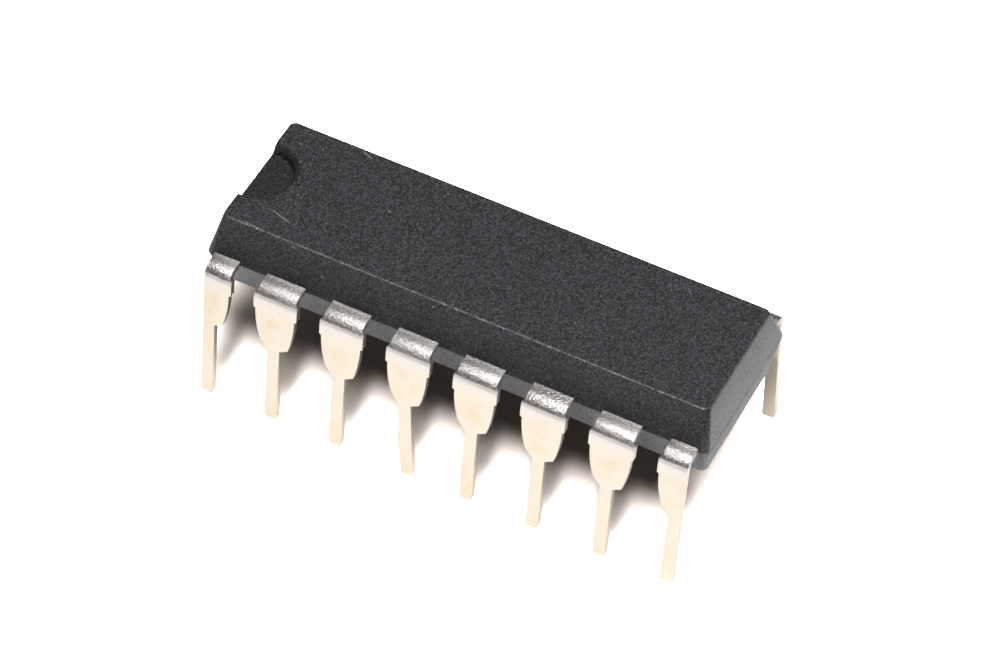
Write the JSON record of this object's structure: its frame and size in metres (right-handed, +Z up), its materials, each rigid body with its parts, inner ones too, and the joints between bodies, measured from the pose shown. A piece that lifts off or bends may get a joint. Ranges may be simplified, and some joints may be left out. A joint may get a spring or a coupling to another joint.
{
  "type": "dual in-line integrated circuit chip",
  "caption": "Moulded dual in-line chip: a drafted black plastic body with an end notch, standing on two rows of bent tinned leads, with its die, paddle and bond wires inside.",
  "frame": {"origin": "centre of the footprint, on the plane of the lead tips", "axes": "+X along the body away from the notched end, -Y towards the side of lead 1, +Z up out of the top face"},
  "size_m": [0.019, 0.0086, 0.0073],
  "materials": {
    "mould_compound": "fine-grained matt black moulding compound, lightly scratched",
    "tinned_lead": "satin tin plating with a sparkling grain on the bends",
    "lead_frame": "bare copper alloy strip",
    "die_bond": "silver-filled adhesive",
    "silicon": "polished dark grey silicon",
    "bond_wire": "drawn gold wire"
  },
  "bodies": {
    "root": {"body": "mould_compound", "die_paddle": "lead_frame", "die_attach": "die_bond", "die": "silicon", "lead_1": "tinned_lead", "lead_2": "tinned_lead", "lead_3": "tinned_lead", "lead_4": "tinned_lead", "lead_5": "tinned_lead", "lead_6": "tinned_lead", "lead_7": "tinned_lead", "lead_8": "tinned_lead", "lead_9": "tinned_lead", "lead_10": "tinned_lead", "lead_11": "tinned_lead", "lead_12": "tinned_lead", "lead_13": "tinned_lead", "lead_14": "tinned_lead", "lead_15": "tinned_lead", "lead_16": "tinned_lead", "bond_wire_1": "bond_wire", "bond_wire_2": "bond_wire", "bond_wire_3": "bond_wire", "bond_wire_4": "bond_wire", "bond_wire_5": "bond_wire", "bond_wire_6": "bond_wire", "bond_wire_7": "bond_wire", "bond_wire_8": "bond_wire", "bond_wire_9": "bond_wire", "bond_wire_10": "bond_wire", "bond_wire_11": "bond_wire", "bond_wire_12": "bond_wire", "bond_wire_13": "bond_wire", "bond_wire_14": "bond_wire", "bond_wire_15": "bond_wire", "bond_wire_16": "bond_wire"}
  },
  "joints": []
}
